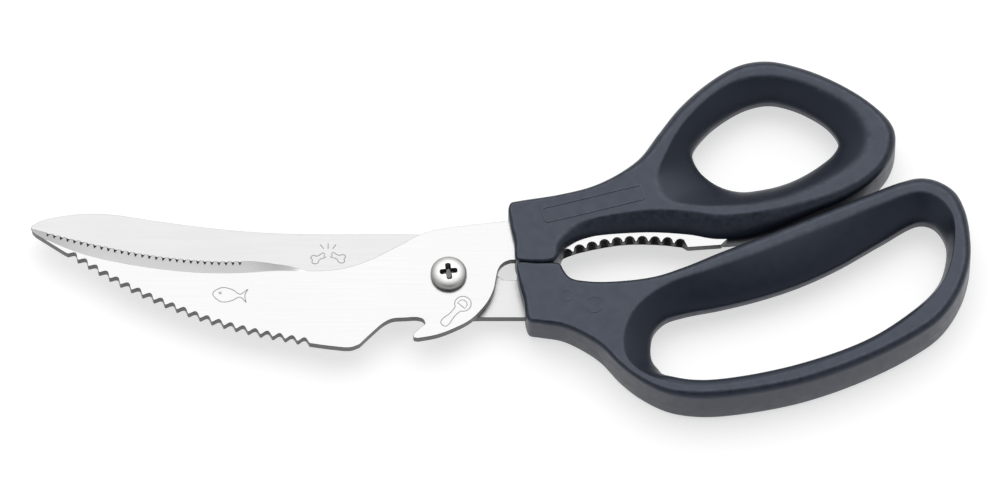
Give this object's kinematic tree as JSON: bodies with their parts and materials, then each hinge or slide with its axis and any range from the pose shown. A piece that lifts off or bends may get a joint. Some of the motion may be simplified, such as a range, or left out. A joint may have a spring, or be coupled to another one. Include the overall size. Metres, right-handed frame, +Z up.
{
  "type": "poultry shears",
  "caption": "Poultry shears with curved serrated blades, fish scaler, bottle opener, nut cracker and two plastic ring handles on a screw pivot.",
  "frame": {"origin": "middle of the closed shears' outline, on the plane that the handles lie on", "axes": "+X from the blades to the handles, +Y towards the thumb ring, +Z up, square to the blades"},
  "size_m": [0.2508, 0.1002, 0.014],
  "materials": {
    "blade_steel": "fine satin, ground bevels brighter along the edge",
    "handle_plastic": "satin moulded polypropylene, blue-black",
    "fastener_steel": "nickel-plated, bright satin"
  },
  "bodies": {
    "thumb_side": {"front_blade": "blade_steel", "thumb_handle": "handle_plastic"},
    "finger_side": {"rear_blade": "blade_steel", "finger_handle": "handle_plastic", "pivot_screw": "fastener_steel", "spring_washer": "fastener_steel", "lock_nut": "fastener_steel"}
  },
  "joints": [
    {"name": "blade_pivot", "type": "hinge", "parent": "thumb_side", "child": "finger_side", "pos_m": [-0.01385, -0.012, 0.007], "axis": [0, 0, -1], "range_deg": [0, 60]}
  ]
}
